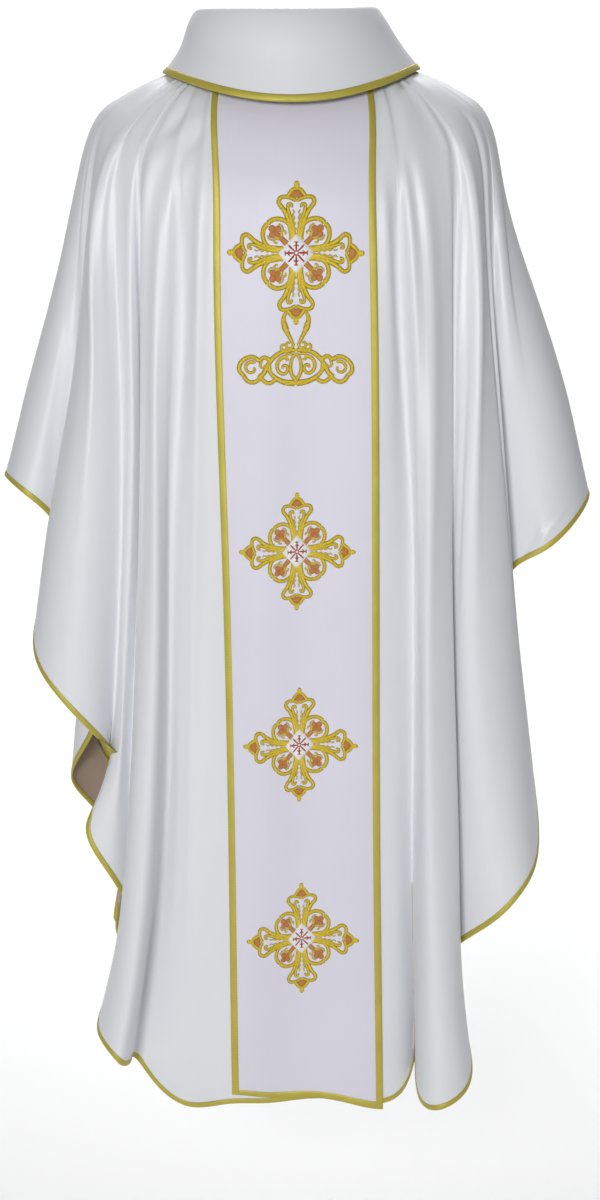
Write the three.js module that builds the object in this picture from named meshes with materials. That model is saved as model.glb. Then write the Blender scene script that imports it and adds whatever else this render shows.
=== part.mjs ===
// A worn chasuble: the sleeveless outer vestment of a priest, hanging open and empty as it does from
// a wearer's shoulders. Millimetres, +Z up, front towards -Y, the wearer's left towards +X.
// The origin is the middle of the neck opening at the height of the shoulders, where it is held up.
//
// The cloth is one surface drawn through fold lines that run from the neck seam to the hem. Each
// section across the fold lines is a smooth closed curve. Every cut piece is a thin wall on it.
import * as THREE from 'three';

// Thicknesses of the cloth pieces: satin and its lining, the orphrey, its braids and the collar.
// A binding stands a little proud of the cloth it closes, and the orphrey rests a little off it.
const CLOTH = 1.5;
const ORPHREY_CLOTH = 1.2;
const BRAID_THICK = 1.0;
const COLLAR_CLOTH = 2.2;
const BINDING_PROUD = 0.4;
const ORPHREY_REST = 1.2;
const SEAM_GAP = 0.3;
const BRAID_WIDTH = 9;
const HEM_BINDING_WIDTH = 7;
const COLLAR_BINDING_WIDTH = 9;

// Where the fold lines are fixed: shares of the drop from the yoke to the hem.
const YOKE_Z = -60;
const CHEST_SHARE = 0.12;
const WAIST_SHARE = 0.4;
const KNEE_SHARE = 0.78;
const ANKLE_SHARE = 0.92;
const CHEST = { halfWidth: 265, front: 160, back: 145 };

// Turns rows of values into objects with named columns.
const table = (columns, rows) =>
  rows.map((row) => Object.fromEntries(columns.split(' ').map((c, i) => [c, row[i]])));

// Oval sections over the shoulders. Lean is how far each has turned from a line's place on the
// neck seam towards its place on the chest.
const YOKE = table('name halfWidth front back leftZ rightZ frontZ backZ shift lean', [
  ['neck seam', 98, 92, 85, 14, 14, -22, 8, 0, 0],
  ['crest', 170, 125, 112, 1, -3, -62, -30, 0, 0.7],
  ['break', 229, 150, 140, -29, -33, -125, -105, 0, 0.91],
]);

// Fold lines, once round from the centre front by the wearer's left side (+X), the centre back
// and the wearer's right side. Neck is the line's bearing on the neck seam in degrees. Sweep is how
// far its ankle lies beside the straight line from knee to hem.
const FOLDS = table('name neck chestX chestY waistX waistY kneeX kneeY hemX hemY hemZ sweep', [
  ['centre front', 0, 5, -160, 10, -164, 15, -167, 20, -168, -1325, 0],
  ['orphrey left half', 35, 55, -159, 60, -165, 65, -169, 70, -171, -1325, 0],
  ['orphrey left edge', 72, 105, -154, 110, -161, 115, -166, 120, -170, -1330, 0],
  ['left panel corner', 74, 118, -151, 134, -151, 140, -155, 148, -152, -1320, 0],
  ['left hollow', 75, 132, -139, 152, -137, 158, -130, 165, -118, -1290, 0],
  ['left roll inner', 76.5, 146, -141, 160, -149, 164, -161, 168, -186, -1320, 0],
  ['left roll', 78, 168, -136, 172, -167, 178, -194, 190, -214, -1320, 0],
  ['left roll outer', 80, 190, -121, 192, -154, 204, -182, 224, -204, -1305, -3],
  ['left roll edge', 81, 201, -110, 202, -139, 218, -160, 238, -168, -1280, -5],
  ['left roll flank', 81.5, 205, -104, 205, -127, 210, -136, 222, -138, -1225, 0],
  ['left fall hollow', 82, 209, -99, 207, -117, 206, -114, 205, -105, -1165, 0],
  ['left fall', 84, 226, -100, 228, -133, 238, -152, 272, -160, -1075, 0],
  ['left fall outer', 85, 240, -84, 250, -122, 275, -142, 310, -146, -1030, 0],
  ['left fall edge', 86, 248, -67, 266, -98, 298, -106, 328, -98, -985, 0],
  ['left fall flank', 86.8, 252, -55, 262, -76, 284, -76, 302, -72, -850, 0],
  ['left side hollow', 87.5, 256, -45, 262, -61, 274, -54, 267, -45, -690, 0],
  ['left side inner', 88.3, 260, -37, 272, -62, 291, -64, 298, -63, -625, 0],
  ['left side ridge', 89.2, 265, -27, 283, -56, 318, -70, 330, -74, -605, 0],
  ['left shoulder seam', 90, 268, 0, 310, -4, 370, -6, 393, 0, -540, 0],
  ['left back ridge', 94, 258, 37, 276, 60, 305, 71, 325, 74, -610, 0],
  ['left back hollow', 97, 252, 52, 263, 66, 270, 57, 270, 54, -705, 0],
  ['left back fall flank', 99.5, 246, 64, 264, 84, 282, 84, 292, 78, -850, 0],
  ['left back fall edge', 102, 240, 78, 266, 104, 293, 110, 312, 102, -985, 0],
  ['left back fall', 107, 222, 100, 236, 140, 253, 160, 262, 166, -1075, 0],
  ['left back fall hollow', 110, 204, 107, 209, 126, 213, 126, 210, 122, -1160, 0],
  ['left back roll flank', 112.5, 196, 112, 202, 137, 213, 150, 220, 152, -1225, 0],
  ['left back roll outer', 115, 188, 118, 198, 150, 216, 175, 230, 186, -1290, 0],
  ['left back roll', 120, 170, 130, 174, 168, 180, 204, 186, 218, -1330, 0],
  ['left back roll inner', 127, 148, 133, 148, 155, 146, 175, 148, 184, -1340, 0],
  ['left back valley', 135, 120, 135, 118, 142, 116, 139, 114, 136, -1320, 0],
  ['left back panel', 157, 60, 145, 60, 160, 60, 172, 62, 178, -1340, 0],
  ['centre back', 180, 0, 147, 5, 165, 10, 176, 12, 184, -1350, 0],
  ['right back panel', 203, -58, 145, -54, 157, -48, 165, -42, 170, -1345, 0],
  ['right back valley', 224, -116, 135, -110, 140, -102, 133, -96, 130, -1325, 0],
  ['right back roll inner', 232, -148, 132, -148, 154, -144, 179, -140, 190, -1330, 0],
  ['right back roll', 240, -174, 128, -180, 166, -191, 201, -200, 214, -1320, 0],
  ['right back roll outer', 246, -192, 115, -206, 148, -230, 167, -246, 172, -1240, 4],
  ['right back fall hollow', 250, -208, 104, -214, 130, -230, 134, -256, 134, -1185, 6],
  ['right back fall', 254, -222, 97, -234, 134, -242, 142, -250, 142, -1150, 6],
  ['right back fall outer', 257, -234, 86, -254, 120, -272, 122, -284, 110, -1005, 0],
  ['right back fall edge', 260, -244, 73, -268, 94, -290, 86, -307, 66, -950, 0],
  ['right back side hollow', 263, -254, 56, -268, 64, -276, 46, -270, 32, -870, 0],
  ['right back flank', 265, -260, 46, -274, 56, -288, 50, -290, 44, -715, 0],
  ['right back ridge', 267, -265, 34, -282, 50, -304, 54, -314, 58, -570, 0],
  ['right shoulder seam', 270, -272, 0, -302, -3, -353, -4, -380, 0, -515, 0],
  ['right side ridge', 271, -268, -28, -287, -46, -317, -58, -344, -62, -535, 0],
  ['right side hollow', 272, -261, -44, -275, -54, -297, -50, -312, -42, -575, 0],
  ['right cape edge', 273, -253, -66, -272, -83, -315, -94, -337, -94, -725, 0],
  ['right cape', 274, -242, -88, -250, -122, -277, -142, -295, -146, -790, 0],
  ['right cape inner', 275, -230, -95, -230, -118, -242, -128, -250, -128, -845, 0],
  ['right cape hollow', 276, -220, -92, -218, -107, -226, -104, -238, -96, -885, 0],
  ['right fall inner', 277, -212, -98, -211, -113, -223, -112, -250, -106, -925, 6],
  ['right fall', 278, -204, -105, -204, -122, -220, -123, -270, -124, -960, 16],
  ['right fall outer', 279, -197, -107, -197, -122, -217, -127, -244, -132, -1020, 5],
  ['right fall hollow', 280, -191, -107, -190, -115, -209, -112, -215, -106, -1105, 0],
  ['right roll flank', 280.5, -188, -110, -189, -122, -210, -127, -229, -132, -1170, 3],
  ['right roll edge', 281, -184, -117, -190, -133, -214, -146, -255, -160, -1225, 7],
  ['right roll outer', 282, -178, -126, -184, -150, -210, -172, -247, -186, -1240, 6],
  ['right roll', 283, -166, -134, -172, -164, -188, -188, -226, -206, -1258, 4],
  ['right roll inner', 284, -152, -136, -160, -152, -177, -148, -212, -160, -1276, 3],
  ['right hollow', 285.5, -135, -134, -152, -136, -172, -122, -209, -120, -1288, 0],
  ['right panel corner', 287, -122, -144, -138, -145, -156, -136, -178, -132, -1323, 0],
  ['right panel', 288.5, -111, -150, -118, -154, -132, -150, -136, -152, -1343, 0],
  ['orphrey right edge', 290, -96, -154, -88, -161, -80, -166, -78, -170, -1330, 0],
  ['orphrey right half', 325, -45, -159, -38, -165, -31, -169, -29, -171, -1330, 0],
]);

// How far the orphrey's foot stands above (+) or hangs below (-) the hem, along its width.
const ORPHREY_FOOT = { right: 14, left: -7 };

// Sections of the turned-down collar, from its seam up the stand, over the crown and down the fall.
const COLLAR = table('name halfWidth front back leftZ rightZ frontZ backZ shift', [
  ['seam', 94.7, 88.7, 81.7, 14, 14, -22, 8, 0],
  ['stand', 101, 86, 82, 66, 60, 54, 66, -4],
  ['inner turn', 106, 91, 87, 79, 72, 71, 82, -6],
  ['crown', 114, 97, 93, 84, 80, 77, 88, -7],
  ['outer turn', 120, 103, 98, 78, 75, 70, 81, -6],
  ['fall', 139, 118, 111, 43, 37, 22, 44, -2],
  ['edge', 165, 133, 124, 8, 3, -36, 0, 0],
]);

// How finely the pieces are cut into facets: their width in mm, their turn in radians and their
// turn round the neck in degrees, then the steps between stations and across the band and collar.
const FACET_WIDTH = 44;
const FACET_TURN = 0.8;
const NECK_TURN = 9;
const STATION_STEPS = [2, 1, 2, 3, 3, 2, 1];
const ORPHREY_STEPS = 12;
const COLLAR_RING_STEPS = 44;
const COLLAR_STEPS = [1, 1, 1, 1, 3, 3];

// Steps of the working: how far in a braid's width is measured, the least slope taken for a hem,
// the overlap of a closed curve's ends and the reach of a slope.
const BRAID_SHARE = 0.2;
const HEM_SLANT = 0.3;
const SPLINE_PAD = 8;
const NORMAL_STEP = 0.02;
const DEGREE = Math.PI / 180;

const vec = (x, y, z) => new THREE.Vector3(x, y, z);
const mix = (a, b, share) => a + (b - a) * share;

// A smooth curve through points, measured by chord length. It is called with a point's index plus
// a share of the way to the next point. A closed curve is an open one that overlaps itself. A curve
// with a lead starts in that direction, as the continuation of another.
function curveThrough(points, closed = false, lead = null) {
  const count = points.length;
  const pad = closed ? SPLINE_PAD : 0;
  const length = closed ? count + 2 * pad + 1 : count;
  const knots = Array.from({ length }, (_, i) => points[(i - pad + count) % count]);
  const last = knots.length - 1;
  const span = knots.slice(1).map((p, i) => p.distanceTo(knots[i]));
  const slope = span.map((h, i) => knots[i + 1].clone().sub(knots[i]).divideScalar(h));
  // Second derivatives, by elimination down the band and substitution back up it.
  const bend = knots.map(() => vec(0, 0, 0));
  const factor = knots.map(() => 0);
  if (lead) {
    factor[0] = 0.5;
    bend[0] = slope[0].clone().sub(lead).multiplyScalar(3 / span[0]);
  }
  for (let i = 1; i < last; i++) {
    const pivot = 2 * (span[i - 1] + span[i]) - span[i - 1] * factor[i - 1];
    factor[i] = span[i] / pivot;
    bend[i] = slope[i].clone().sub(slope[i - 1]).multiplyScalar(6)
      .addScaledVector(bend[i - 1], -span[i - 1]).divideScalar(pivot);
  }
  for (let i = last - 1; i >= 0; i--) bend[i].addScaledVector(bend[i + 1], -factor[i]);
  return (asked) => {
    const place = (closed ? ((asked % count) + count) % count : asked) + pad;
    const i = Math.max(0, Math.min(last - 1, Math.floor(place)));
    const b = place - i;
    const a = 1 - b;
    const h2 = span[i] * span[i] / 6;
    return vec(0, 0, 0)
      .addScaledVector(knots[i], a).addScaledVector(knots[i + 1], b)
      .addScaledVector(bend[i], (a * a * a - a) * h2).addScaledVector(bend[i + 1], (b * b * b - b) * h2);
  };
}

// A point of an oval section. Angle is 0 at the front and 90 degrees on the wearer's left.
function ovalPoint(ring, angle) {
  const side = Math.sin(angle);
  const front = Math.cos(angle);
  const depth = front > 0 ? ring.front : ring.back;
  const sideZ = mix(ring.rightZ, ring.leftZ, (1 + side) / 2);
  const endZ = front > 0 ? ring.frontZ : ring.backZ;
  return vec(ring.shift + ring.halfWidth * side, -depth * front, mix(sideZ, endZ, front * front));
}

// The stations of one fold line, from the neck seam to the hem.
function foldStations(fold) {
  const neck = fold.neck * DEGREE;
  const depth = fold.chestY < 0 ? CHEST.front : CHEST.back;
  let chest = Math.atan2(fold.chestX / CHEST.halfWidth, -fold.chestY / depth);
  if (chest < neck - Math.PI) chest += 2 * Math.PI;
  const dropZ = (share) => mix(YOKE_Z, fold.hemZ, share);
  const knee = vec(fold.kneeX, fold.kneeY, dropZ(KNEE_SHARE));
  const hem = vec(fold.hemX, fold.hemY, fold.hemZ);
  const ankle = knee.clone().lerp(hem, (ANKLE_SHARE - KNEE_SHARE) / (1 - KNEE_SHARE));
  return [
    ...YOKE.map((ring) => ovalPoint(ring, mix(neck, chest, ring.lean))),
    vec(fold.chestX, fold.chestY, dropZ(CHEST_SHARE)),
    vec(fold.waistX, fold.waistY, dropZ(WAIST_SHARE)),
    knee,
    ankle.add(vec(fold.sweep, 0, 0)),
    hem,
  ];
}

// Stations by name: neck seam, crest, break, chest, waist, knee, ankle, hem.
const BREAK = 2;
const WAIST = 4;
const HEM = STATION_STEPS.length;

const foldIndex = (name) => FOLDS.findIndex((fold) => fold.name === name);
const neckBearing = (i) => FOLDS[(i + FOLDS.length) % FOLDS.length].neck;

// The cloth lies over the shoulder as far as the break and hangs on from there in the same line.
const foldCurves = FOLDS.map((fold) => {
  const stations = foldStations(fold);
  const yoke = curveThrough(stations.slice(0, BREAK + 1));
  const lead = yoke(BREAK).sub(yoke(BREAK - NORMAL_STEP)).normalize();
  const hanging = curveThrough(stations.slice(BREAK), false, lead);
  return (at) => (at <= BREAK ? yoke(at) : hanging(at - BREAK));
});
const sections = new Map();

// The cloth's section at a station, kept once it has been worked out.
function sectionAt(station) {
  const key = station.toFixed(4);
  if (!sections.has(key)) {
    const points = foldCurves.map((curve) => curve(station));
    sections.set(key, curveThrough(points, true));
  }
  return sections.get(key);
}

// The cloth's two directions at a point, down the fold lines and across them.
function tangents(fold, station) {
  const above = Math.max(0, station - NORMAL_STEP);
  const below = Math.min(HEM, station + NORMAL_STEP);
  const down = sectionAt(below)(fold).sub(sectionAt(above)(fold)).divideScalar(below - above);
  const across = sectionAt(station)(fold + NORMAL_STEP).sub(sectionAt(station)(fold - NORMAL_STEP));
  return [down, across.divideScalar(2 * NORMAL_STEP)];
}

// The direction the cloth's right side faces.
function clothNormal(fold, station) {
  const [down, across] = tangents(fold, station);
  return down.cross(across).normalize();
}

// A point of the cloth moved out from its outer face. Fold and station are indices with a share.
const clothPoint = (fold, station, out = 0) =>
  sectionAt(station)(fold).addScaledVector(clothNormal(fold, station), out);

// How fast the cloth runs across the fold lines, square to them, for a whole step of the index.
function speedAcross(fold, station) {
  const [down, across] = tangents(fold, station);
  return across.addScaledVector(down, -across.dot(down) / down.lengthSq()).length();
}

// The place in the cloth that lies a distance up from the hem, square to it, as a fold and a
// station. Where the hem runs almost along a fold line the step is kept within bounds.
function aboveHem(fold, distance) {
  const [down, across] = tangents(fold, HEM);
  const along = down.dot(across) / across.lengthSq();
  const square = down.clone().addScaledVector(across, -along).length();
  const climb = distance / Math.max(square, down.length() * HEM_SLANT);
  return [fold + climb * along, HEM - climb];
}

// Places along a list of whole numbers with so many equal steps in each interval.
function places(first, steps) {
  const list = [first];
  steps.forEach((count, i) => {
    for (let j = 1; j <= count; j++) list.push(first + i + j / count);
  });
  return list;
}

// The facet lines between two fold lines, closer where the cloth is wide or turns.
function foldPlaces(from, to) {
  const steps = [];
  for (let i = from; i < to; i++) {
    const width = (station) => sectionAt(station)(i).distanceTo(sectionAt(station)(i + 1));
    const turn = (station) => clothNormal(i, station).angleTo(clothNormal(i + 1, station));
    const widest = Math.max(width(WAIST), width(HEM));
    const sharpest = Math.max(turn(WAIST), turn(HEM));
    const atNeck = (neckBearing(i + 1) - neckBearing(i) + 360) % 360;
    const counts = [widest / FACET_WIDTH, sharpest / FACET_TURN, atNeck / NECK_TURN];
    steps.push(Math.max(1, ...counts.map(Math.round)));
  }
  return places(from, steps);
}

// A closed thin wall. outer and inner give the point of each face in a column and a row.
function wall(columns, rows, outer, inner, ring = false) {
  const positions = [];
  const index = [];
  const outerId = (i, j) => 2 * ((i % columns) * rows + j);
  const innerId = (i, j) => outerId(i, j) + 1;
  for (let i = 0; i < columns; i++) {
    for (let j = 0; j < rows; j++) positions.push(...outer(i, j).toArray(), ...inner(i, j).toArray());
  }
  const face = (a, b, c, d) => index.push(a, b, c, a, c, d);
  const spans = ring ? columns : columns - 1;
  for (let i = 0; i < spans; i++) {
    for (let j = 0; j < rows - 1; j++) {
      face(outerId(i, j), outerId(i, j + 1), outerId(i + 1, j + 1), outerId(i + 1, j));
      face(innerId(i, j), innerId(i + 1, j), innerId(i + 1, j + 1), innerId(i, j + 1));
    }
    face(outerId(i, 0), outerId(i + 1, 0), innerId(i + 1, 0), innerId(i, 0));
    face(outerId(i, rows - 1), innerId(i, rows - 1), innerId(i + 1, rows - 1), outerId(i + 1, rows - 1));
  }
  if (!ring) {
    const end = columns - 1;
    for (let j = 0; j < rows - 1; j++) {
      face(outerId(0, j), innerId(0, j), innerId(0, j + 1), outerId(0, j + 1));
      face(outerId(end, j), outerId(end, j + 1), innerId(end, j + 1), innerId(end, j));
    }
  }
  const geometry = new THREE.BufferGeometry();
  geometry.setAttribute('position', new THREE.Float32BufferAttribute(positions, 3));
  geometry.setIndex(index);
  geometry.computeVertexNormals();
  return geometry;
}

const fabric = (color, roughness, metalness = 0) =>
  new THREE.MeshStandardMaterial({ color, roughness, metalness });
const SATIN = fabric(0xe1e3e7, 0.5);
const ORPHREY_SATIN = fabric(0xd9d7e1, 0.55);
const GOLD = fabric(0xc2ba62, 0.45, 0.2);

const chasuble = new THREE.Group();
chasuble.name = 'chasuble';

function add(name, geometry, material) {
  const mesh = new THREE.Mesh(geometry, material);
  mesh.name = name;
  chasuble.add(mesh);
}

const bodyStations = places(0, STATION_STEPS);

// A front or back panel and the binding that closes its hem. Both stop half a gap short of the
// shoulder seams.
function bodyPanel(name, from, to) {
  const lines = foldPlaces(from, to);
  const end = lines.length - 1;
  const ankle = HEM - 1;
  const point = (i, fold, station, out) => {
    const inward = (i === 0 ? 1 : 0) - (i === end ? 1 : 0);
    const trim = inward * SEAM_GAP / 2 / speedAcross(fold, station);
    return clothPoint(fold + trim, station, out);
  };
  const edge = (i, distance) => {
    const [fold, station] = aboveHem(lines[i], distance);
    return [i === 0 || i === end ? lines[i] : fold, station];
  };
  const panelPoint = (i, j, out) => {
    const below = Math.max(0, bodyStations[j] - ankle);
    const [fold, station] = edge(i, HEM_BINDING_WIDTH + 2 * SEAM_GAP);
    if (below === 0) return point(i, lines[i], bodyStations[j], out);
    return point(i, mix(lines[i], fold, below), mix(ankle, station, below), out);
  };
  add(`${name}_panel`, wall(lines.length, bodyStations.length,
    (i, j) => panelPoint(i, j, 0), (i, j) => panelPoint(i, j, -CLOTH)), SATIN);
  const bindingPoint = (i, j, out) => point(i, ...edge(i, j === 1 ? 0 : HEM_BINDING_WIDTH), out);
  add(`${name}_hem_binding`, wall(lines.length, 2,
    (i, j) => bindingPoint(i, j, BINDING_PROUD),
    (i, j) => bindingPoint(i, j, -CLOTH - BINDING_PROUD)), GOLD);
}

const count = FOLDS.length;
bodyPanel('front', foldIndex('right shoulder seam') - count, foldIndex('left shoulder seam'));
bodyPanel('back', foldIndex('left shoulder seam'), foldIndex('right shoulder seam'));

// The orphrey is a band laid on the front, with braids along its sides and its foot. Its foot
// hangs by itself, a little off the hem line. All its pieces share one grid, on which the braids
// cover the first and last columns and the last row.
const bandRight = foldIndex('orphrey right edge') - count;
const bandLeft = foldIndex('orphrey left edge');
const bandOver = ORPHREY_REST + ORPHREY_CLOTH;
const braidUnder = bandOver + SEAM_GAP;
const braidOver = braidUnder + BRAID_THICK;
const bandRows = [...bodyStations];
bandRows.splice(-1, 0, aboveHem(0, BRAID_WIDTH)[1]);
const bandFoot = bandRows.length - 1;

// A place across the band: column 1 and the last but one are a braid's width from the edges.
function bandFold(column, station) {
  const last = ORPHREY_STEPS;
  const inner = (edge, inward) => {
    const near = clothPoint(edge + inward * BRAID_SHARE, station);
    const reach = clothPoint(edge, station).distanceTo(near);
    return edge + inward * BRAID_SHARE * BRAID_WIDTH / reach;
  };
  if (column <= 1) return mix(bandRight, inner(bandRight, 1), column);
  if (column >= last - 1) return mix(bandLeft, inner(bandLeft, -1), last - column);
  return mix(inner(bandRight, 1), inner(bandLeft, -1), (column - 1) / (last - 2));
}

// A point of the band's grid, moved out from the cloth. Its foot rows hang aslant.
function bandPoint(column, row, out) {
  const fold = bandFold(column, bandRows[row]);
  const point = clothPoint(fold, bandRows[row], out);
  const across = (fold - bandRight) / (bandLeft - bandRight);
  if (row >= bandFoot - 1) point.z += mix(ORPHREY_FOOT.right, ORPHREY_FOOT.left, across);
  return point;
}

function bandPiece(name, columns, rows, under, over, material) {
  add(name, wall(columns.length, rows.length,
    (i, j) => bandPoint(columns[i], rows[j], over),
    (i, j) => bandPoint(columns[i], rows[j], under)), material);
}

const acrossBand = places(0, Array(ORPHREY_STEPS).fill(1));
const downBand = places(0, Array(bandFoot).fill(1));
bandPiece('orphrey', acrossBand, downBand, ORPHREY_REST, bandOver, ORPHREY_SATIN);
bandPiece('orphrey_braid_right', acrossBand.slice(0, 2), downBand, braidUnder, braidOver, GOLD);
bandPiece('orphrey_braid_left', acrossBand.slice(-2), downBand, braidUnder, braidOver, GOLD);

// The foot braid runs between the two side braids, a seam's gap clear of each.
const footColumns = acrossBand.slice(1, -1);
footColumns[0] += SEAM_GAP / BRAID_WIDTH;
footColumns[footColumns.length - 1] -= SEAM_GAP / BRAID_WIDTH;
bandPiece('orphrey_braid_foot', footColumns, downBand.slice(-2), braidUnder, braidOver, GOLD);

// The collar is one folded piece: its right side faces the neck on the stand and out on the fall.
const collarLines = Array.from({ length: COLLAR_RING_STEPS }, (_, i) => {
  const angle = 2 * Math.PI * i / COLLAR_RING_STEPS;
  return { angle, curve: curveThrough(COLLAR.map((ring) => ovalPoint(ring, angle))) };
});
const collarStations = places(0, COLLAR_STEPS);
const COLLAR_EDGE = COLLAR.length - 1;

// A point of the collar moved out from its right side.
function collarPoint(line, station, out) {
  const { angle, curve } = line;
  const above = Math.max(0, station - NORMAL_STEP);
  const below = Math.min(COLLAR_EDGE, station + NORMAL_STEP);
  const along = curve(below).sub(curve(above));
  const around = vec(Math.cos(angle), Math.sin(angle), 0);
  return curve(station).addScaledVector(along.cross(around).normalize(), out);
}

// The station that lies a distance in from the collar's edge.
function collarEdgeStation(line, distance) {
  const step = 1 / COLLAR_STEPS[COLLAR_EDGE - 1];
  const length = line.curve(COLLAR_EDGE).distanceTo(line.curve(COLLAR_EDGE - step));
  return COLLAR_EDGE - step * distance / length;
}

const collarRows = collarStations.length;
const clothRow = (line, j, out) => {
  const edge = collarEdgeStation(line, COLLAR_BINDING_WIDTH + SEAM_GAP);
  return collarPoint(line, j === collarRows - 1 ? edge : collarStations[j], out);
};
add('collar', wall(COLLAR_RING_STEPS, collarRows,
  (i, j) => clothRow(collarLines[i], j, 0),
  (i, j) => clothRow(collarLines[i], j, -COLLAR_CLOTH), true), SATIN);

const bindingRow = (line, j, out) =>
  collarPoint(line, j === 1 ? COLLAR_EDGE : collarEdgeStation(line, COLLAR_BINDING_WIDTH), out);
add('collar_binding', wall(COLLAR_RING_STEPS, 2,
  (i, j) => bindingRow(collarLines[i], j, BINDING_PROUD),
  (i, j) => bindingRow(collarLines[i], j, -COLLAR_CLOTH - BINDING_PROUD), true), GOLD);

export default chasuble;
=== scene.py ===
# A priest's chasuble, worn open with nobody in it: two panels of white satin, an embroidered
# orphrey down the front, gold braids and bindings, and a roll collar. Sizes are in millimetres
# until a mesh is made. The front faces -Y and the wearer's left is +X.
import math

import bpy
import numpy as np
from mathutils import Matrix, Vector


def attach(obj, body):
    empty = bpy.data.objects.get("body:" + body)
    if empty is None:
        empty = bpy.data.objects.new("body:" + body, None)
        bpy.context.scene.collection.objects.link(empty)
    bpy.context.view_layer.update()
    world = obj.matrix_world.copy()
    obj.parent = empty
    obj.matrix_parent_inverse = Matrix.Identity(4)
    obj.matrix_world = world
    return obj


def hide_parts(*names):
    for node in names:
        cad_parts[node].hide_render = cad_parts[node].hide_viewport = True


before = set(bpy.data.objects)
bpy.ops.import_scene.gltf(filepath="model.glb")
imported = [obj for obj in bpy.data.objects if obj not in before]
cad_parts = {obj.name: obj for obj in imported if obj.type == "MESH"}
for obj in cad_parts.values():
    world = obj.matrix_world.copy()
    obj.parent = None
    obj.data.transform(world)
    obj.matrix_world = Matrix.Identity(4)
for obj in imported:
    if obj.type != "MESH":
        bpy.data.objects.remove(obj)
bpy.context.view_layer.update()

# ---------------------------------------------------------------------------------------------
# The fall of the cloth. Front and back are sewn together at the shoulders and hang in deep rolls
# from the neck seam to the hem, so one surface through the fold lines carries both panels and
# all that is sewn on them. A place in it is a fold line and a station down that line.
YOKE_Z = -60
DROP_SHARES = {"chest": 0.12, "waist": 0.4, "knee": 0.78, "ankle": 0.92}
CHEST = {"half_width": 265, "front": 160, "back": 145}

# Ovals over the shoulders: name, half width, front and back depth, height at the left, the right,
# the front and the back, shift, and how far each has turned from the neck to the chest.
YOKE = [
    ("neck seam", 98, 92, 85, 14, 14, -22, 8, 0, 0),
    ("crest", 170, 125, 112, 1, -3, -62, -30, 0, 0.7),
    ("break", 229, 150, 140, -29, -33, -125, -105, 0, 0.91),
]

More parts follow.
